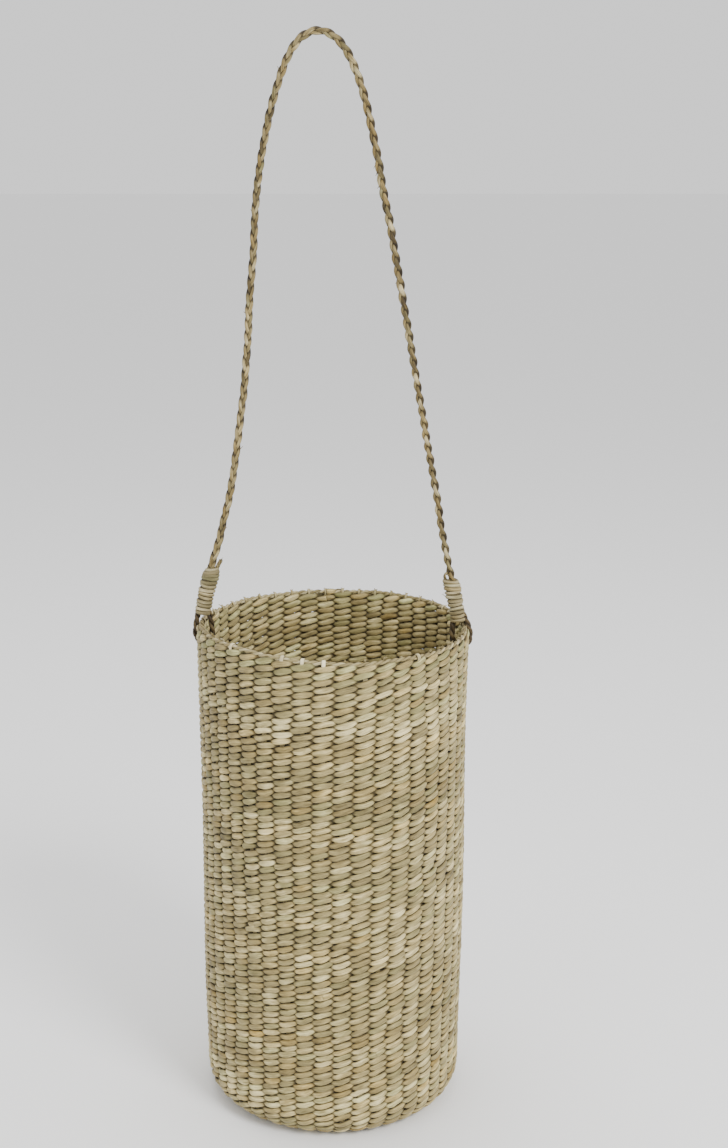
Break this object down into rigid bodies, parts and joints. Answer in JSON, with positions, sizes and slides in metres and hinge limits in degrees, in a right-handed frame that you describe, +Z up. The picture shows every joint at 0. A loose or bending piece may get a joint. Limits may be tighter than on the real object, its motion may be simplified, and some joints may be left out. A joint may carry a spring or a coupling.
{
  "type": "seagrass storage basket",
  "caption": "Tall round storage basket twined from seagrass, with a long plaited rope handle that swings on two lashed rope eyes.",
  "frame": {"origin": "centre of the base's underside, on the surface the basket stands on", "axes": "+Z up along the basket's axis; the two eyes of the handle lie along X, and the handle swings towards +Y and -Y"},
  "size_m": [0.2282, 0.218, 0.8694],
  "materials": {
    "seagrass_weave": "dry flat seagrass strand, matt with a faint sheen, straw to grey-green",
    "seagrass_stake": "pale split seagrass, matt",
    "dark_rope": "dark brown twisted seagrass rope, matt",
    "lashing_strand": "flat seagrass strand, matt with a faint sheen",
    "plaited_rope": "plaited seagrass rope, matt, with loose fibres"
  },
  "bodies": {
    "basket": {"base_centre": "seagrass_weave", "base_round_inner": "seagrass_weave", "base_round_outer": "seagrass_weave", "base_corner": "seagrass_weave", "wall_round_1": "seagrass_weave", "wall_round_2": "seagrass_weave", "wall_round_3": "seagrass_weave", "wall_round_4": "seagrass_weave", "wall_round_5": "seagrass_weave", "wall_round_6": "seagrass_weave", "wall_round_7": "seagrass_weave", "rim_binding": "seagrass_weave", "stakes_first": "seagrass_stake", "stakes_added": "seagrass_stake", "rim_core": "seagrass_stake", "left_eye": "dark_rope", "right_eye": "dark_rope"},
    "handle_legs": {"left_lashing": "lashing_strand", "right_lashing": "lashing_strand", "left_tail": "plaited_rope", "right_tail": "plaited_rope", "left_rope_end": "plaited_rope", "right_rope_end": "plaited_rope"},
    "handle_loop": {"handle_rope": "plaited_rope"}
  },
  "joints": [
    {"name": "handle_swing", "type": "hinge", "parent": "basket", "child": "handle_legs", "pos_m": [-0.1045, 0, 0.42], "axis": [0.9992, 0, -0.0389], "range_deg": [-75, 75]},
    {"name": "handle_droop", "type": "hinge", "parent": "handle_legs", "child": "handle_loop", "pos_m": [0, 0, 0.49], "axis": [1, 0, 0], "range_deg": [-80, 80]}
  ]
}
